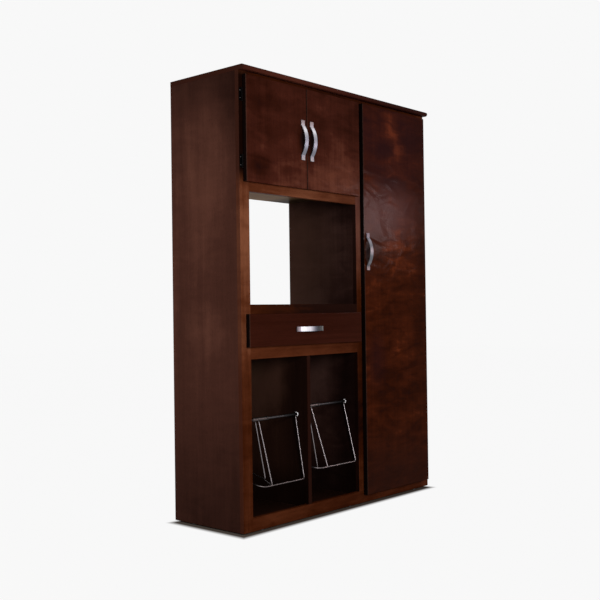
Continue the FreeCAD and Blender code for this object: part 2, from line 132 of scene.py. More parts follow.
def stretched_noise(paint, place, scales, offset, detail, distortion=0.0):
    """Noise whose size differs along X, Y and Z: scales are in features per metre."""
    mapped = paint.node("ShaderNodeMapping", None, {"Vector": place, "Location": offset, "Scale": scales})
    settings = {"noise_dimensions": "3D"}
    values = {"Vector": mapped["Vector"], "Scale": 1.0, "Detail": detail, "Distortion": distortion}
    return paint.node("ShaderNodeTexNoise", settings, values)["Fac"]


def along(axis, along_grain, across_grain):
    """Scales for noise that runs with the grain along the axis numbered 0, 1 or 2."""
    scales = [across_grain] * 3
    scales[axis] = along_grain
    return tuple(scales)


grain_depth = 0.000036
# Features per metre, first along the grain and then across it
broad_figure = (1.1, 9.0)
streak_lines = (2.5, 70.0)
fine_fibres = (16.0, 900.0)
open_pores = (60.0, 1500.0)
cross_ripples = (34.0, 5.0)
pore_limit = 0.67
pore_strength = 0.5
fibre_strength = 0.14
middle_tone = 0.43
cloud_drift = 0.15
fleck_slant = math.radians(-35)
fleck_scales = (8.5, 8.5, 22.0)
wave_scales = (7.0, 7.0, 12.0)


def cloud(paint, place, centre, spread):
    """A soft patch, 1 at its centre and 0 at its rim: spread holds its half sizes."""
    location = tuple(-c / s for c, s in zip(centre, spread))
    scale = tuple(1 / s for s in spread)
    mapped = paint.node("ShaderNodeMapping", None, {"Vector": place, "Location": location, "Scale": scale})
    settings = {"gradient_type": "SPHERICAL"}
    return paint.node("ShaderNodeTexGradient", settings, {"Vector": mapped["Vector"]})["Fac"]


def lacquered_wood(name, grain, tones, seed, figure=0.5, ripple=0.0, gloss=0.34, sheen=0.006,
                   clouds=(), trims=(), patches=(), mottle=0.0, streaks=0.2, waviness=0.0):
    """Stained and lacquered wood. tones run from the darkest to the lightest stain. Each cloud is a
    patch that is lighter or darker, and each trim is a strip in a stain, between two places along X or Y.
    Each patch is a stain that is full in the middle and fades out at its rim. Some clouds, trims and
    patches are painted light and painted shade instead of stain. mottle is how strong the slanting
    flecks are in which the stain has taken unevenly, and streaks how strong the grain's lines.
    waviness is how high, in metres, the lacquer's waves are that break up what it mirrors."""
    paint = new_paint(name)
    place = paint.node("ShaderNodeTexCoord")["Object"]
    offset = (seed * 3.7, seed * 5.3, seed * 1.9)
    broad = stretched_noise(paint, place, along(grain, *broad_figure), offset, 2.0, 0.6)
    streak = stretched_noise(paint, place, along(grain, *streak_lines), offset, 4.0, 0.4)
    fibre = stretched_noise(paint, place, along(grain, *fine_fibres), offset, 2.0)
    pores = stretched_noise(paint, place, along(grain, *open_pores), offset, 1.0) > pore_limit
    balance = middle_tone - (figure + streaks) / 2
    tone = broad * figure + streak * streaks + fibre * fibre_strength + balance
    if ripple:
        across = stretched_noise(paint, place, along(grain, *cross_ripples), offset, 2.0, 1.2)
        tone = tone + (across - 0.5) * ripple
    if mottle:
        values = {"Vector": place, "Rotation": (0.0, fleck_slant, 0.0), "Scale": fleck_scales}
        flecks = paint.node("ShaderNodeMapping", None, values)["Vector"]
        values = {"Vector": flecks, "Scale": 1.0, "Detail": 4.0, "Distortion": 0.7}
        blot = paint.node("ShaderNodeTexNoise", {"noise_dimensions": "3D"}, values)["Fac"]
        tone = tone + (blot - 0.5) * mottle
    if clouds:
        values = {"Vector": place, "Scale": 8.0, "Detail": 3.0}
        wander = paint.node("ShaderNodeTexNoise", {"noise_dimensions": "3D"}, values)["Color"]
        settings = {"operation": "MULTIPLY_ADD"}
        drift = (cloud_drift, cloud_drift, cloud_drift)
        drifted = paint.node("ShaderNodeVectorMath", settings, {0: wander, 1: drift, 2: place})["Vector"]
        for (x, y, z), spread, amount in clouds:
            centre = tuple(c + cloud_drift / 2 for c in (x, y, z))
            tone = tone + cloud(paint, drifted, centre, spread) * amount
    stops = [(0.1 + 0.8 * n / (len(tones) - 1), stain(*t)) for n, t in enumerate(tones)]
    colour = paint.node("ShaderNodeValToRGB", {"stops": stops}, {"Fac": tone})["Color"]
    pore_stain = tuple(c * 0.45 for c in stain(*tones[0]))
    settings = {"data_type": "RGBA"}
    values = {"Factor": pores * pore_strength, "A": colour, "B": pore_stain}
    colour = paint.node("ShaderNodeMix", settings, values)["Result"]
    for centre, spread, fullness, patch_stain, share in patches:
        cover = cloud(paint, place, centre, spread) * fullness
        cover = cover.maths("MINIMUM", cover, 1.0) * share
        values = {"Factor": cover, "A": colour, "B": stain(*patch_stain)}
        colour = paint.node("ShaderNodeMix", settings, values)["Result"]
    sides = paint.node("ShaderNodeSeparateXYZ", None, {0: place})
    for way, low, high, trim_stain, share in trims:
        mask = (sides[way] > low) * (sides[way] < high)
        values = {"Factor": mask * share, "A": colour, "B": stain(*trim_stain)}
        colour = paint.node("ShaderNodeMix", settings, values)["Result"]
    relief = fibre * 0.6 + streak * 0.4 - pores * 0.5
    if waviness:
        waves = stretched_noise(paint, place, wave_scales, offset, 1.0, 1.0)
        relief = relief + waves * (waviness / grain_depth)
    bump = paint.node("ShaderNodeBump", None, {"Strength": 1.0, "Distance": grain_depth, "Height": relief})
    surface = paint.node("ShaderNodeBsdfPrincipled", None, {
        "Base Color": colour,
        "Roughness": gloss + fibre * 0.08,
        "Normal": bump["Normal"],
        "Specular IOR Level": sheen,
    })
    return paint.finish(surface["BSDF"])


def slab(name, low, high, arris, face_rounding=0.0):
    """A board with broken arrises. face_rounding rounds the edges round its front face."""
    body = bmesh.new()
    bmesh.ops.create_cube(body, size=1.0)
    for vertex in body.verts:
        share = vertex.co + Vector((0.5, 0.5, 0.5))
        vertex.co = [a + (b - a) * s for a, b, s in zip(low, high, share)]
    if face_rounding:
        front = [e for e in body.edges if all(v.co.y < low[1] + 1e-6 for v in e.verts)]
        bmesh.ops.bevel(body, geom=front, offset=face_rounding, segments=6, profile=0.5, affect="EDGES")
    sharp = [e for e in body.edges if e.calc_face_angle() > 1.2]
    bmesh.ops.bevel(body, geom=sharp, offset=arris, segments=2, profile=0.5, affect="EDGES")
    return placed(name, body)


def placed(name, body):
    """The finished mesh as an object that stands at the origin."""
    bmesh.ops.recalc_face_normals(body, faces=body.faces)
    mesh = bpy.data.meshes.new(name)
    body.to_mesh(mesh)
    body.free()
    piece = bpy.data.objects.new(name, mesh)
    bpy.context.scene.collection.objects.link(piece)
    return piece


def fit(piece, material, body, slot, *nodes):
    """The piece gets its material, rides on its body and stands for its nodes."""
    piece.data.materials.clear()
    piece.data.materials.append(material)
    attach(piece, body)
    if nodes:
        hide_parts(*nodes)


def dress(node, material):
    """A carried-over node gets a better material."""
    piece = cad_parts[node]
    piece.data.materials.clear()
    piece.data.materials.append(material)


side_tones = ((30, 14, 10), (66, 38, 30), (104, 65, 52))
side_clouds = [((-0.625, 0.02, 1.35), (1.0, 0.20, 0.40), 0.14),
               ((-0.625, 0.02, 0.78), (1.0, 0.17, 0.12), 0.14),
               ((-0.625, -0.14, 0.40), (1.0, 0.10, 0.70), -0.10),
               ((-0.625, 0.05, 0.05), (1.0, 0.50, 0.50), -0.26),
               ((-0.625, 0.02, 1.82), (1.0, 0.60, 0.24), -0.22),
               ((-0.625, -0.18, 1.70), (1.0, 0.13, 0.30), -0.30)]
panel_arris = 0.0006
for seed, node in enumerate(("left_side_panel", "right_side_panel")):
    clouds = side_clouds if node == "left_side_panel" else ()
    material = lacquered_wood(node + "_veneer", 2, side_tones, seed + 1, 0.3, clouds=clouds, mottle=0.16,
                              streaks=0.12)
    fit(slab("panel_" + node, *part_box(node), panel_arris), material, "carcass", "carcass_wood", node)
partition_tones = ((28, 16, 13), (48, 29, 25), (76, 52, 46))
# Painted light and shade on the partition: its clouds and its first patch make it lighter towards the back,
# and the unlit patches are painted shade near the front and at the floor.
partition_painted_light = [((0.13, 0.16, 1.10), (1.0, 0.30, 0.50), 0.35),
                    ((0.13, 0.20, 0.66), (1.0, 0.30, 0.34), 1.00)]
unlit = (5, 1, 1)
partition_painted_light_and_shade = [((0.13, 0.17, 1.10), (1.0, 0.26, 0.50), 1.6, (68, 46, 36), 0.55),
                     ((0.13, -0.17, 1.30), (1.0, 0.20, 0.10), 1.5, unlit, 0.5),
                     ((0.13, -0.17, 0.40), (1.0, 0.18, 0.60), 2.0, unlit, 0.70),
                     ((0.13, -0.02, 0.04), (1.0, 0.60, 0.20), 2.0, unlit, 0.65)]
partition_veneer = lacquered_wood("partition_veneer", 2, partition_tones, 3, 0.3, clouds=partition_painted_light,
                                  patches=partition_painted_light_and_shade, mottle=0.5)
dress("centre_partition", partition_veneer)

# Level boards: the floors, the ceilings and the shelves. They are the same stained board, with the
# grain running from side to side, dowelled between the uprights or lying loose on pins.
level_tones = ((18, 9, 6), (30, 16, 11), (46, 25, 17))
level_wood = lacquered_wood("level_board_veneer", 0, level_tones, 4, 0.35)
for node in ("left_bottom_board", "right_bottom_board", "bay_ceiling_board", "niche_floor_board",
             "upper_shelf", "tall_shelf_1", "tall_shelf_2", "tall_shelf_3", "tall_shelf_4"):
    dress(node, level_wood)
# The niche ceiling's tones are far lighter than the other boards' as a painted reflection of the pale room,
# and its patch is painted shade at its end by the partition.
ceiling_painted_reflection_tones = ((126, 92, 64), (172, 134, 96), (198, 162, 122))
ceiling_painted_shade = [((0.12, 0.10, 1.355), (0.23, 1.0, 1.0), 2.0, (24, 14, 10), 0.92)]
dress("niche_ceiling_board", lacquered_wood("niche_ceiling_veneer", 0, ceiling_painted_reflection_tones, 7, 0.35, gloss=0.3,
                                            sheen=0.002, patches=ceiling_painted_shade))

# The divider between the two bays stands on their floor. It is veneered like the partition, and its
# front edge, lipped with solid wood, is flush with the frame.
divider_tones = ((30, 15, 10), (46, 27, 20), (76, 50, 40))
# Painted light and shade on the divider: its cloud and the far corner patch make it lighter at the top
# towards the back, and the unlit patches are painted shade near the front and at the floor.
divider_painted_light = [((-0.26, 0.20, 0.66), (1.0, 0.30, 0.34), 1.30)]
far_corner_painted_light = (100, 74, 58)
divider_painted_light_and_shade = [((-0.24, 0.22, 0.70), (1.0, 0.18, 0.20), 1.8, far_corner_painted_light, 0.9),
                   ((-0.24, -0.17, 0.40), (1.0, 0.15, 0.70), 2.0, unlit, 0.55),
                   ((-0.24, -0.02, 0.04), (1.0, 0.60, 0.18), 2.0, unlit, 0.6)]
lipping = ("Y", -1.0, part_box("bay_divider")[0].y + 0.003, (38, 17, 11), 1.0)
dress("bay_divider", lacquered_wood("divider_veneer", 2, divider_tones, 5, 0.3, clouds=divider_painted_light,
                                    trims=[lipping], patches=divider_painted_light_and_shade))

# The thin back panels are stained on the face that looks into the cabinet, left raw on the wall's
# side, and pinned behind the boards. Only the back of the niche is open.
raw_tones = ((92, 62, 40), (122, 86, 58), (146, 106, 74))
stained_face = ("Y", -1.0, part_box("bay_back_panel")[1].y - 0.001, (28, 21, 18), 0.97)
back_board = lacquered_wood("back_panel_board", 0, raw_tones, 6, 0.5, gloss=0.5, trims=[stained_face],
                            mottle=0.5, streaks=0.1)
for node in ("upper_back_panel", "bay_back_panel", "tall_back_panel"):
    dress(node, back_board)

# The face frame is solid wood, redder and lighter than the veneer. Its stiles run from the floor to
# the top, and its rails butt between them, so the grain turns at each joint.
frame_tones = ((28, 9, 4), (60, 24, 7), (88, 44, 24), (124, 74, 50))
frame_arris = 0.0005
# The left stile's outer face is stained like the side panel, and the dark trim on the centre stile's left
# face is painted shade.
left_face_stain_and_painted_shade = {"left_stile": ((58, 30, 22), 0.72), "centre_stile": ((18, 8, 7), 0.9)}
# Some of the clouds are painted light and shade: the top rail's is the painted shadow under the top's nose,
# the upper door rail's and the centre stile's near 1.2 m are painted sheen, and the darker ones low on the
# stiles and on the bottom rail are painted shade towards the floor.
frame_members = {
    # name: grain, seed, clouds
    "left_stile": (2, 10, [((-0.60, -0.18, 1.12), (1.0, 1.0, 0.36), 0.50),
                           ((-0.60, -0.18, 0.74), (1.0, 1.0, 0.12), 0.26),
                           ((-0.60, -0.18, 0.30), (1.0, 1.0, 0.50), -0.16)]),
    "centre_stile": (2, 11, [((0.11, -0.18, 1.22), (1.0, 1.0, 0.30), 0.30),
                             ((0.11, -0.18, 0.40), (1.0, 1.0, 0.65), -0.36),
                             ((0.11, -0.18, 0.12), (1.0, 1.0, 0.24), 0.24)]),
    "right_stile": (2, 12, ()),
    "top_rail": (0, 13, [((-0.20, -0.18, 1.75), (2.0, 1.0, 1.0), -0.30)]),
    "upper_door_rail": (0, 14, [((-0.25, -0.18, 1.37), (0.40, 1.0, 1.0), 0.30)]),
    "niche_floor_rail": (0, 15, [((0.00, -0.18, 0.90), (0.70, 1.0, 1.0), -0.60)]),
    "bay_head_rail": (0, 16, [((0.10, -0.18, 0.70), (0.20, 1.0, 1.0), -0.15)]),
    "bottom_rail": (0, 17, [((0.00, -0.18, 0.05), (1.20, 1.0, 1.0), -0.12)]),
}
# The left stile's patch is the painted shadow of the upper left door beside it, and the centre stile's pale
# pink patch is a painted sheen.
stile_painted_shade_and_sheen = {
    "left_stile": [((-0.60, -0.18, 1.58), (1.0, 1.0, 0.243), 4.0, (9, 3, 2), 0.94)],
    "centre_stile": [((0.11, -0.18, 1.26), (1.0, 1.0, 0.30), 1.4, (104, 67, 63), 0.48)],
}
for node, (grain, seed, clouds) in frame_members.items():
    low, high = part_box(node)
    patches = stile_painted_shade_and_sheen.get(node, ())
    trims = ()
    if node in left_face_stain_and_painted_shade:
        trims = [("X", -1.0, low.x + frame_arris, *left_face_stain_and_painted_shade[node])]
    material = lacquered_wood(node + "_wood", grain, frame_tones, seed, 0.4, clouds=clouds, trims=trims,
                              patches=patches, mottle=0.4, streaks=0.34)
    fit(slab("frame_" + node, low, high, frame_arris), material, "carcass", "frame_wood", node)

# The top board lies over the whole carcass and runs out past the doors. Its front edge is turned to
# a bullnose, and its grain runs from side to side.
nosing_flat = 0.0008
top_low, top_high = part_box("top_board")
nose_radius = (top_high.z - top_low.z - nosing_flat) / 2
body = bmesh.new()
bmesh.ops.create_cube(body, size=1.0)
for vertex in body.verts:
    share = vertex.co + Vector((0.5, 0.5, 0.5))
    vertex.co = [a + (b - a) * s for a, b, s in zip(top_low, top_high, share)]
nose = [e for e in body.edges if all(v.co.y < top_low.y + 1e-6 for v in e.verts)
        and abs(e.verts[0].co.z - e.verts[1].co.z) < 1e-6]
bmesh.ops.bevel(body, geom=nose, offset=nose_radius, segments=10, profile=0.5, affect="EDGES")
top_tones = ((34, 13, 9), (60, 26, 18), (90, 46, 34))
top_clouds = [((-0.30, -0.20, 1.79), (0.40, 1.0, 1.0), 0.30),
              ((0.45, -0.20, 1.79), (0.45, 1.0, 1.0), -0.30)]
left_end = ("X", -1.0, top_low.x + 0.0005, (48, 24, 17), 0.8)
top_wood = lacquered_wood("top_board_wood", 0, top_tones, 20, 0.4, clouds=top_clouds, trims=[left_end])
fit(placed("top_board_nosed", body), top_wood, "carcass", "frame_wood", "top_board")

# Shelf pins, runners, strikes and screws are zinc plated steel, bright but a little cloudy.


def metal(name, colour, roughness, brushing, axis, reach=None, painted_shading=()):
    """Metal with fine lines along one axis, brushing deep. painted_shading changes its tone along the axis,
    from one end of its reach to the other, as painted reflections and painted shade."""
    paint = new_paint(name)
    place = paint.node("ShaderNodeTexCoord")["Object"]
    lines = stretched_noise(paint, place, along(axis, 30.0, 2600.0), (0.0, 0.0, 0.0), 2.0)
    haze = stretched_noise(paint, place, (40.0, 40.0, 40.0), (3.0, 1.0, 2.0), 2.0)
    stops = [(0.3, tuple(c * 0.86 for c in colour)), (0.7, colour)]
    tint = paint.node("ShaderNodeValToRGB", {"stops": stops}, {"Fac": lines * 0.5 + haze * 0.5})["Color"]
    if painted_shading:
        run = paint.node("ShaderNodeSeparateXYZ", None, {0: place})["XYZ"[axis]]
        share = (run - reach[0]) * (1 / (reach[1] - reach[0]))
        stops = [(at, stain(*shade)) for at, shade in painted_shading]
        shade = paint.node("ShaderNodeValToRGB", {"stops": stops}, {"Fac": share})["Color"]
        settings = {"data_type": "RGBA", "blend_type": "MULTIPLY"}
        tint = paint.node("ShaderNodeMix", settings, {"Factor": 1.0, "A": tint, "B": shade})["Result"]
    values = {"Strength": brushing, "Distance": 0.00005, "Height": lines}
    bump = paint.node("ShaderNodeBump", None, values)
    surface = paint.node("ShaderNodeBsdfPrincipled", None, {
        "Base Color": tint,
        "Metallic": 1.0,
        "Roughness": lines * 0.1 + haze * 0.06 + roughness,
        "Normal": bump["Normal"],
    })
    return paint.finish(surface["BSDF"])


zinc = metal("zinc_plate", stain(196, 196, 192), 0.3, 0.1, 1)
for node in ("shelf_pins", "runner_channels", "drawer_runners", "upper_left_door_strike",
             "upper_right_door_strike", "tall_door_strike", "upper_left_door_handle_screws",
             "upper_right_door_handle_screws", "tall_door_handle_screws", "drawer_handle_screws"):
    dress(node, zinc)

# The glides under the base and the bodies of the catches are moulded black plastic.


def moulded_plastic(name, colour, roughness):
    paint = new_paint(name)
    place = paint.node("ShaderNodeTexCoord")["Object"]
    grain = stretched_noise(paint, place, (1400.0, 1400.0, 1400.0), (0.0, 0.0, 0.0), 2.0)
    stops = [(0.2, tuple(c * 0.8 for c in colour)), (0.8, tuple(c * 1.3 for c in colour))]
    tint = paint.node("ShaderNodeValToRGB", {"stops": stops}, {"Fac": grain})["Color"]
    bump = paint.node("ShaderNodeBump", None, {"Strength": 0.2, "Distance": 0.0001, "Height": grain})
    surface = paint.node("ShaderNodeBsdfPrincipled", None, {
        "Base Color": tint,
        "Roughness": grain * 0.1 + roughness,
        "Normal": bump["Normal"],
    })
    return paint.finish(surface["BSDF"])


black_plastic = moulded_plastic("black_plastic", stain(22, 21, 20), 0.45)
dress("glides", black_plastic)
dress("door_catches", black_plastic)

# The hinges are narrow steel butts in a black bronze finish. One leaf is screwed to the face of the
# frame beside the door, the other to the door's back, and a headed pin joins them.
bronze = metal("black_bronze", stain(12, 10, 10), 0.36, 0.1, 2)
for node in ("hinge_frame_leaves", "hinge_pins", "upper_left_door_hinge_leaves",
             "upper_right_door_hinge_leaves", "tall_door_hinge_leaves"):
    dress(node, bronze)

# Each leaf of a hinge is held by two small zinc plated screws with a cross in their heads, one above
# the other. The heads stand a little proud of the frame's leaves and lie flush in the doors' leaves.
frame_screw_radius = 0.0017
frame_screw_rise = 0.0007
door_screw_radius = 0.0030
door_screw_rise = 0.0001
screw_spacing = 0.030
cross_width = 0.0006
frame_leaf_face = -0.1762
door_leaf_face = -0.1753
door_leaf_half = 0.014
half_hinge = 0.025
head_sides = 24
cross_reach = 1.3
cross_lift = 0.75
hung_doors = {
    # door: where its frame leaves' middle is along X, the leaf's far side, how many hinges
    "upper_left_door": (-0.6178, 1, 2),
    "upper_right_door": (0.1128, -1, 2),
    "tall_door": (0.6178, -1, 3),
}


def screw_head_tree(material):
    """Geometry nodes that set a flat head with a cross in it, facing along Y, on every point."""
    tree = bpy.data.node_groups.new("cross_head_screws", "GeometryNodeTree")
    tree.interface.new_socket("Places", in_out="INPUT", socket_type="NodeSocketGeometry")
    for name in ("Head Radius", "Head Rise", "Cross Width"):
        tree.interface.new_socket(name, in_out="INPUT", socket_type="NodeSocketFloat")
    tree.interface.new_socket("Screws", in_out="OUTPUT", socket_type="NodeSocketGeometry")
    given = tree.nodes.new("NodeGroupInput").outputs

    def node(kind, settings, links):
        made = tree.nodes.new(kind)
        for key, value in settings.items():
            setattr(made, key, value)
        for key, value in links.items():
            if isinstance(value, bpy.types.NodeSocket):
                tree.links.new(value, made.inputs[key])
            else:
                made.inputs[key].default_value = value
        return made.outputs

    length = node("ShaderNodeMath", {"operation": "MULTIPLY"}, {0: given["Head Radius"], 1: cross_reach})[0]
    depth = node("ShaderNodeMath", {"operation": "MULTIPLY"}, {0: given["Head Rise"], 1: 2.0})[0]
    head = node("GeometryNodeMeshCylinder", {"fill_type": "NGON"},
                {"Vertices": head_sides, "Radius": given["Head Radius"], "Depth": depth})["Mesh"]
    bars = []
    for across, down in ((length, given["Cross Width"]), (given["Cross Width"], length)):
        size = node("ShaderNodeCombineXYZ", {}, {"X": across, "Y": down, "Z": depth})[0]
        bar = node("GeometryNodeMeshCube", {}, {"Size": size})["Mesh"]
        lift = node("ShaderNodeCombineXYZ", {}, {"Z": depth})[0]
        raised = node("ShaderNodeVectorMath", {"operation": "SCALE"}, {0: lift, "Scale": cross_lift})[0]
        bars.append(node("GeometryNodeTransform", {}, {"Geometry": bar, "Translation": raised})["Geometry"])
    cross = tree.nodes.new("GeometryNodeMeshBoolean")
    cross.operation = "DIFFERENCE"
    tree.links.new(head, cross.inputs["Mesh 1"])
    for bar in bars:
        tree.links.new(bar, cross.inputs["Mesh 2"])
    turned = node("GeometryNodeTransform", {},
                  {"Geometry": cross.outputs["Mesh"], "Rotation": (math.pi / 2, 0.0, 0.0)})["Geometry"]
    spread = node("GeometryNodeInstanceOnPoints", {}, {"Points": given["Places"], "Instance": turned})[0]
    real = node("GeometryNodeRealizeInstances", {}, {"Geometry": spread})[0]
    dressed = node("GeometryNodeSetMaterial", {}, {"Geometry": real, "Material": material})[0]
    tree.links.new(dressed, tree.nodes.new("NodeGroupOutput").inputs["Screws"])
    return tree


screw_steel = metal("screw_steel", stain(150, 146, 144), 0.3, 0.1, 1)
screw_heads = screw_head_tree(screw_steel)


def screws(name, places, radius, rise, body):
    points = bpy.data.meshes.new(name + "_places")
    points.from_pydata(places, [], [])
    maker = bpy.data.objects.new(name + "_places", points)
    bpy.context.scene.collection.objects.link(maker)
    modifier = maker.modifiers.new("screws", "NODES")
    modifier.node_group = screw_heads
    sizes = {"Head Radius": radius, "Head Rise": rise, "Cross Width": cross_width}
    for item in screw_heads.interface.items_tree:
        if item.name in sizes:
            modifier[item.identifier] = sizes[item.name]
    made = maker.evaluated_get(bpy.context.evaluated_depsgraph_get())
    piece = bpy.data.objects.new(name, bpy.data.meshes.new_from_object(made))
    bpy.data.objects.remove(maker)
    bpy.context.scene.collection.objects.link(piece)
    fit(piece, screw_steel, body, "zinc_steel")


frame_places = []
for door, (leaf_middle, far_side, count) in hung_doors.items():
    leaf_low, leaf_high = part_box(door + "_hinge_leaves")
    first = leaf_low.z + half_hinge
    step = (leaf_high.z - half_hinge - first) / (count - 1)
    heights = [first + step * n for n in range(count)]
    rows = [height + side * screw_spacing / 2 for height in heights for side in (-1, 1)]
    frame_places += [(leaf_middle, frame_leaf_face, row) for row in rows]
    leaf_end = leaf_high.x if far_side > 0 else leaf_low.x
    leaf_places = [(leaf_end - far_side * door_leaf_half, door_leaf_face, row) for row in rows]
    screws("screws_" + door, leaf_places, door_screw_radius, door_screw_rise, door)
screws("screws_frame_leaves", frame_places, frame_screw_radius, frame_screw_rise, "carcass")

# The doors and the drawer front are veneered slabs with rounded arrises. The veneer is figured, in
# dark clouds on a red brown ground, and the edges are near black.
front_rounding = 0.002
front_arris = 0.0004
front_tones = ((28, 9, 7), (47, 17, 8), (68, 30, 20), (102, 56, 41))
tall_tones = ((28, 8, 6), (46, 14, 2), (66, 25, 7), (112, 50, 24))
front_gloss = 0.11
upper_mottle = 0.5
mottles = {"drawer_front": 0.0, "tall_door": 0.85}
lacquer_waves = 0.0018
purple = (34, 14, 17)
# The rosy patch is a painted sheen, a pale pink haze across the tall door at about 1.3 m.
rosy_painted_sheen = (88, 50, 46)
tall_patches = [((0.380, -0.19, 1.60), (0.60, 1.0, 0.36), 1.5, (64, 30, 32), 0.30),
                ((0.149, -0.19, 1.64), (0.08, 1.0, 0.11), 1.5, purple, 0.42),
                ((0.498, -0.19, 1.64), (0.15, 1.0, 0.10), 1.4, purple, 0.48),
                ((0.280, -0.19, 1.58), (0.12, 1.0, 0.06), 1.5, purple, 0.65),
                ((0.200, -0.19, 1.48), (0.12, 1.0, 0.05), 1.5, purple, 0.45),
                ((0.330, -0.19, 1.43), (0.14, 1.0, 0.05), 1.5, purple, 0.60),
                ((0.300, -0.19, 1.29), (0.36, 1.0, 0.17), 1.4, rosy_painted_sheen, 0.60),
                ((0.206, -0.19, 0.63), (0.09, 1.0, 0.16), 1.2, purple, 0.50),
                ((0.600, -0.19, 0.90), (0.14, 1.0, 1.40), 1.2, (32, 10, 4), 0.36),
                ((0.300, -0.19, 0.02), (0.60, 1.0, 0.34), 1.5, (42, 20, 14), 0.60)]
front_edge = (14, 7, 6)
# The pale strip beside the dark left edge of each front is a painted highlight, where the rounded arris
# catches the light.
arris_painted_highlight = (84, 66, 56)
arris_highlight_share = 0.3
arris_highlight_width = 0.0027
dark_arris = 0.0008
left_dark_arris = {"tall_door": 0.0045}
# Behind each door's handle, a dark patch on the door is the handle's painted shadow.
handle_painted_shadow = (9, 4, 4)
handle_shadow_spread = (0.029, 0.030, 0.074)
handle_shadow_fullness = 1.7
handle_shadow_share = 0.9
fronts = {
    # name: body, grain, seed, figure, ripple, clouds
    "upper_left_door": ("upper_left_door", 2, 31, 0.3, 0.08, [
        ((-0.447, -0.19, 1.67), (0.14, 1.0, 0.07), -0.22),
        ((-0.513, -0.19, 1.49), (0.08, 1.0, 0.07), 0.16),
        ((-0.532, -0.19, 1.425), (0.09, 1.0, 0.05), -0.24),
        ((-0.380, -0.19, 1.370), (0.45, 1.0, 0.05), 0.20),
        ((-0.284, -0.19, 1.43), (0.22, 1.0, 0.14), 0.22),
        ((-0.600, -0.19, 1.76), (0.12, 1.0, 0.18), -0.24)]),
    "upper_right_door": ("upper_right_door", 2, 32, 0.3, 0.08, [
        ((-0.132, -0.19, 1.71), (0.09, 1.0, 0.06), 0.12),
        ((-0.095, -0.19, 1.58), (0.08, 1.0, 0.07), 0.12),
        ((0.050, -0.19, 1.68), (0.13, 1.0, 0.09), -0.06),
        ((-0.165, -0.19, 1.42), (0.11, 1.0, 0.12), 0.22),
        ((-0.235, -0.19, 1.39), (0.07, 1.0, 0.09), 0.26),
        ((0.020, -0.19, 1.40), (0.34, 1.0, 0.22), 0.34)]),
    "tall_door": ("tall_door", 2, 33, 0.34, 0.26, [
        ((0.331, -0.19, 1.71), (0.09, 1.0, 0.09), 0.30),
        ((0.370, -0.19, 1.62), (0.08, 1.0, 0.10), 0.26),
        ((0.389, -0.19, 1.50), (0.09, 1.0, 0.11), 0.20),
        ((0.420, -0.19, 1.14), (0.24, 1.0, 0.24), 0.18),
        ((0.385, -0.19, 0.71), (0.14, 1.0, 0.18), 0.14),
        ((0.385, -0.19, 0.52), (0.13, 1.0, 0.11), -0.20),
        ((0.360, -0.19, 1.90), (0.60, 1.0, 0.60), -0.14)]),
    "drawer_front": ("drawer", 0, 34, 0.2, 0.0, [((-0.24, -0.19, 0.80), (0.9, 1.0, 1.0), -0.10)]),
}
for node, (rider, grain, seed, figure, ripple, clouds) in fronts.items():
    low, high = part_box(node)
    dark_end = low.x + left_dark_arris.get(node, dark_arris)
    trims = [("X", dark_end, dark_end + arris_highlight_width, arris_painted_highlight, arris_highlight_share),
             ("X", -1.0, dark_end, front_edge, 1.0),
             ("X", high.x - dark_arris, 1.0, front_edge, 1.0)]
    patches = list(tall_patches) if node == "tall_door" else []
    tones = tall_tones if node == "tall_door" else front_tones
    if node != "drawer_front":
        handle_low, handle_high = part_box(node + "_handle")
        handle_shadow_centre = tuple((handle_low + handle_high) / 2)
        patches.append((handle_shadow_centre, handle_shadow_spread, handle_shadow_fullness, handle_painted_shadow, handle_shadow_share))
    mottle = mottles.get(node, upper_mottle)
    material = lacquered_wood(node + "_veneer", grain, tones, seed, figure, ripple, front_gloss,
                              clouds=clouds, trims=trims, patches=patches, mottle=mottle,
                              waviness=lacquer_waves)
    fit(slab("front_" + node, low, high, front_arris, front_rounding), material, rider, "front_wood", node)

# The handles are arched straps of nickel plated metal with a flat foot at each end, brushed along
# their length. Two screws from behind the front hold each of them.
handle_length = 0.164
handle_width = 0.020
strap = 0.0035
foot_length = 0.020
foot_thickness = 0.005
handle_arris = 0.0009
arch_steps = 40


def arc(half, base, rise):
    """Points of an arc that springs at base, half to each side, and stands rise above zero."""
    height = rise - base
    radius = (half * half + height * height) / (2 * height)
    spread = math.asin(half / radius)
    turns = [spread * (2 * n / arch_steps - 1) for n in range(arch_steps + 1)]
    return [(radius * math.sin(t), rise - radius + radius * math.cos(t)) for t in turns]


nickel = stain(246, 246, 252)
# The tones along each handle are painted reflections and painted shade, light and dark bands that stand in
# for what the nickel mirrors.
upper_painted_reflections = ((0.0, (155, 150, 148)), (0.12, (134, 134, 140)), (0.24, (126, 127, 135)),
                (0.38, (162, 164, 174)), (0.47, (141, 142, 150)), (0.56, (152, 152, 158)),
                (0.65, (190, 188, 190)), (0.74, (242, 240, 240)), (0.82, (234, 230, 232)),
                (0.90, (168, 158, 160)), (1.0, (139, 125, 123)))
tall_painted_reflections = ((0.0, (142, 127, 124)), (0.12, (94, 92, 94)), (0.20, (119, 118, 120)),
               (0.28, (99, 101, 104)), (0.38, (101, 103, 106)), (0.44, (130, 126, 130)),
               (0.51, (140, 133, 135)), (0.58, (128, 122, 124)), (0.66, (108, 108, 111)),
               (0.74, (137, 135, 139)), (0.82, (148, 144, 150)), (0.90, (112, 107, 112)),
               (1.0, (112, 104, 110)))
drawer_painted_reflections = ((0.0, (90, 80, 80)), (0.13, (180, 172, 176)), (0.22, (222, 220, 218)),
                 (0.38, (226, 224, 226)), (0.48, (150, 150, 156)), (0.56, (94, 97, 104)),
                 (0.64, (68, 70, 76)), (0.71, (54, 56, 61)), (0.80, (66, 68, 71)),
                 (0.93, (67, 69, 67)), (1.0, (118, 118, 114)))
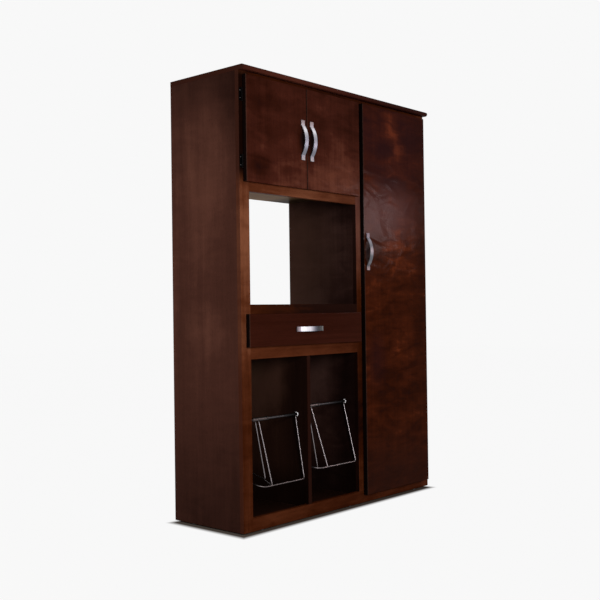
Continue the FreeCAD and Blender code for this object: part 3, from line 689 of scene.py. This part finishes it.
for node, rider, axis, painted_shading in (("upper_left_door_handle", "upper_left_door", 2, upper_painted_reflections),
                                  ("upper_right_door_handle", "upper_right_door", 2, upper_painted_reflections),
                                  ("tall_door_handle", "tall_door", 2, tall_painted_reflections),
                                  ("drawer_handle", "drawer", 0, drawer_painted_reflections)):
    low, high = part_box(node)
    middle = (low + high) / 2
    rise = high.y - low.y
    half = handle_length / 2
    shoulder = half - foot_length
    outline = [(-half, 0.0), (-half, foot_thickness)] + arc(shoulder, foot_thickness, rise)
    outline += [(half, foot_thickness), (half, 0.0)] + arc(shoulder, 0.0, rise - strap)[::-1]
    body = bmesh.new()
    rows = []
    for side in (-handle_width / 2, handle_width / 2):
        if axis == 2:
            places = [(middle.x + side, high.y - out, middle.z + run) for run, out in outline]
        else:
            places = [(middle.x + run, high.y - out, middle.z + side) for run, out in outline]
        rows.append([body.verts.new(p) for p in places])
    body.faces.new(rows[0])
    body.faces.new(rows[1])
    for n in range(len(outline)):
        m = (n + 1) % len(outline)
        body.faces.new((rows[0][n], rows[0][m], rows[1][m], rows[1][n]))
    bmesh.ops.recalc_face_normals(body, faces=body.faces)
    sharp = [e for e in body.edges if e.calc_face_angle() > 0.7]
    bmesh.ops.bevel(body, geom=sharp, offset=handle_arris, segments=3, profile=0.5, affect="EDGES")
    piece = placed("bow_" + node, body)
    piece.data.shade_smooth()
    weighting = piece.modifiers.new("weighting", "WEIGHTED_NORMAL")
    weighting.keep_sharp = True
    nickel_strap = metal(node + "_nickel", nickel, 0.42, 0.12, axis, (low[axis], high[axis]), painted_shading)
    fit(piece, nickel_strap, rider, "handle_metal", node)

# The drawer box is plain sealed hardwood, and so is the packing strip behind the left runner.
box_tones = ((118, 84, 54), (150, 112, 74), (176, 138, 96))
for node, grain in (("drawer_left_side", 1), ("drawer_right_side", 1), ("drawer_back", 0),
                    ("drawer_bottom", 1), ("runner_packer", 1)):
    dress(node, lacquered_wood(node + "_wood", grain, box_tones, 40 + grain, 0.35, gloss=0.5))

# The racks are bent and welded from plated steel wire. Each hangs by a sleeve and a collar on a rod
# across its bay, and the rods sit in small round sockets.
# The racks' wire is darker at its lowest wires and round the rod, as painted shade.
wire_painted_shade = ((0.0, (186, 182, 178)), (0.04, (186, 182, 178)), (0.08, (255, 255, 255)),
               (0.91, (255, 255, 255)), (0.93, (150, 146, 142)), (1.0, (150, 146, 142)))
for node in ("left_rack", "right_rack"):
    low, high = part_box(node)
    dress(node, metal(node + "_wire", stain(132, 124, 126), 0.26, 0.05, 2, (low.z, high.z), wire_painted_shade))
dress("rack_rods", metal("dull_steel_rod", stain(64, 62, 64), 0.34, 0.05, 0))
dress("rod_sockets", metal("pale_sockets", stain(254, 252, 254), 0.8, 0.02, 0))

# The studio: a pale floor that runs out into a pale room, soft lamps and the camera. The camera, and
# what metal and lacquer mirror, see floor and room in one pale grey, but for a dark line of shadow
# round the base.
floor_size = 30.0
backdrop_grey = 0.939
floor_glow_share = 0.935
floor_grey = (0.62, 0.62, 0.62)
shadow_grey = (0.11, 0.09, 0.075)
room_light = 0.16
contact_shade = 0.020
contact_fade = 0.030
far_ease = 0.040
body = bmesh.new()
bmesh.ops.create_grid(body, x_segments=1, y_segments=1, size=floor_size / 2)
floor = placed("studio_floor", body)


def seen_share(paint):
    """1 for rays of the camera and for mirrored and passing rays, 0 for the others."""
    ray = paint.node("ShaderNodeLightPath")
    return ray["Is Camera Ray"] + ray["Is Glossy Ray"] + ray["Is Transmission Ray"]


paper = new_paint("studio_paper")
seen = seen_share(paper)
matt = paper.node("ShaderNodeBsdfDiffuse", None, {"Color": floor_grey})["BSDF"]
shadow = paper.node("ShaderNodeBsdfDiffuse", None, {"Color": shadow_grey})["BSDF"]
ground = paper.node("ShaderNodeMixShader", None, {0: seen, 1: matt, 2: shadow})["Shader"]
glow = paper.node("ShaderNodeEmission", None, {"Color": (1.0, 1.0, 1.0), "Strength": 1.0})["Emission"]
place = paper.node("ShaderNodeTexCoord")["Object"]
sides = paper.node("ShaderNodeSeparateXYZ", None, {0: place})
base_front = -0.175
foot_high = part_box("right_side_panel")[1]
beyond = []
for way, low, high in (("X", -foot_high.x, foot_high.x - far_ease),
                       ("Y", base_front, foot_high.y - far_ease)):
    off_centre = sides[way] - (low + high) / 2
    beyond.append(off_centre.maths("ABSOLUTE", off_centre, 0.0) - (high - low) / 2)
gap = (beyond[0].maths("MAXIMUM", beyond[0], beyond[1]) - contact_shade) * (1 / contact_fade)
clear_of_base = gap.maths("MINIMUM", gap.maths("MAXIMUM", gap, 0.0), 1.0)
glow_share = seen * clear_of_base * floor_glow_share
mixed = paper.node("ShaderNodeMixShader", None, {0: glow_share, 1: ground, 2: glow})
floor.data.materials.append(paper.finish(mixed["Shader"]))

studio_room = bpy.data.worlds.new("studio_room")
bpy.context.scene.world = studio_room
air = Paint(studio_room)
white = (1.0, 1.0, 1.0)
room = air.node("ShaderNodeBackground", None, {"Color": white, "Strength": room_light})["Background"]
pale = (backdrop_grey, backdrop_grey, backdrop_grey)
backdrop = air.node("ShaderNodeBackground", None, {"Color": pale})["Background"]
mixed = air.node("ShaderNodeMixShader", None, {0: seen_share(air), 1: room, 2: backdrop})
air.finish(mixed["Shader"], "ShaderNodeOutputWorld")


def softbox(name, place, aim, width, height, power, warmth=white):
    lamp = bpy.data.lights.new(name, "AREA")
    lamp.color = warmth
    lamp.shape = "RECTANGLE"
    lamp.size = width
    lamp.size_y = height
    lamp.energy = power
    rig = bpy.data.objects.new(name, lamp)
    rig.location = place
    rig.rotation_euler = (Vector(aim) - Vector(place)).to_track_quat("-Z", "Y").to_euler()
    bpy.context.scene.collection.objects.link(rig)


softbox("key_lamp", (-1.9, -3.5, 1.5), (-0.1, -0.2, 1.05), 1.1, 1.1, 84.0)
softbox("side_lamp", (-2.3, 0.15, 1.2), (-0.62, 0.05, 1.1), 0.9, 0.9, 17.0)
softbox("back_lamp", (2.2, 2.6, 2.3), (0.2, 0.2, 0.9), 1.4, 1.4, 36.0)
softbox("sheen_lamp", (3.4, -2.7, 1.62), (0.15, -0.2, 1.24), 0.4, 0.45, 27.0, (1.0, 0.76, 0.77))

camera_place = Vector((-3.1236, -2.6912, 0.855))
yaw = math.radians(-48.4484)
pitch = math.radians(0.6389)
roll = math.radians(-0.7624)
forward = Vector((-math.sin(yaw) * math.cos(pitch), math.cos(yaw) * math.cos(pitch), math.sin(pitch)))
level = Vector((math.cos(yaw), math.sin(yaw), 0.0))
upward = level.cross(forward)
right = level * math.cos(roll) + upward * math.sin(roll)
up = upward * math.cos(roll) - level * math.sin(roll)
lens = bpy.data.cameras.new("photograph_camera")
lens.sensor_width = 36.0
lens.lens = 55.61
lens.clip_end = 100.0
camera = bpy.data.objects.new("photograph_camera", lens)
turn = Matrix((right, up, -forward)).transposed()
camera.matrix_world = Matrix.Translation(camera_place) @ turn.to_4x4()
bpy.context.scene.collection.objects.link(camera)
bpy.context.scene.camera = camera
bpy.context.scene.view_settings.view_transform = "Standard"
